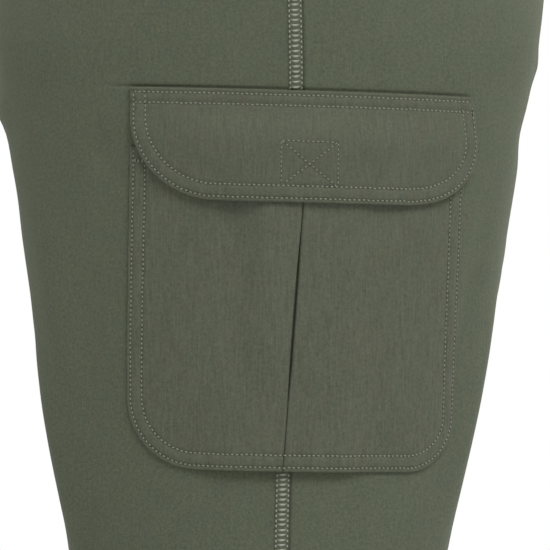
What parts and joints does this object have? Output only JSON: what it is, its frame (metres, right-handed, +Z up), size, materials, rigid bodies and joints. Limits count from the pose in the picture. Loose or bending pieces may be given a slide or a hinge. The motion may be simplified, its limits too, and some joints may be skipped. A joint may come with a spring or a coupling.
{
  "type": "cargo shorts",
  "caption": "Knee-length pull-on cargo shorts, filled out as worn, with a pleated flap pocket on the outside of each leg.",
  "frame": {"origin": "middle of the waist's top edge, where the wearer holds the shorts up", "axes": "+Z up, front towards -Y, the wearer's right leg towards -X"},
  "size_m": [0.38, 0.2929, 0.535],
  "materials": {
    "leg_cloth": "matt olive grey cloth with a fine grain",
    "pocket_cloth": "matt olive grey cloth with fine upright ribs",
    "flap_cloth": "matt olive grey cloth with fine upright ribs, double",
    "band_cloth": "matt olive grey cloth, gathered over elastic"
  },
  "bodies": {
    "root": {"waistband": "band_cloth", "front_right": "leg_cloth", "front_left": "leg_cloth", "back_right": "leg_cloth", "back_left": "leg_cloth", "pocket_right": "pocket_cloth", "pocket_left": "pocket_cloth", "flap_right": "flap_cloth", "flap_left": "flap_cloth"}
  },
  "joints": []
}
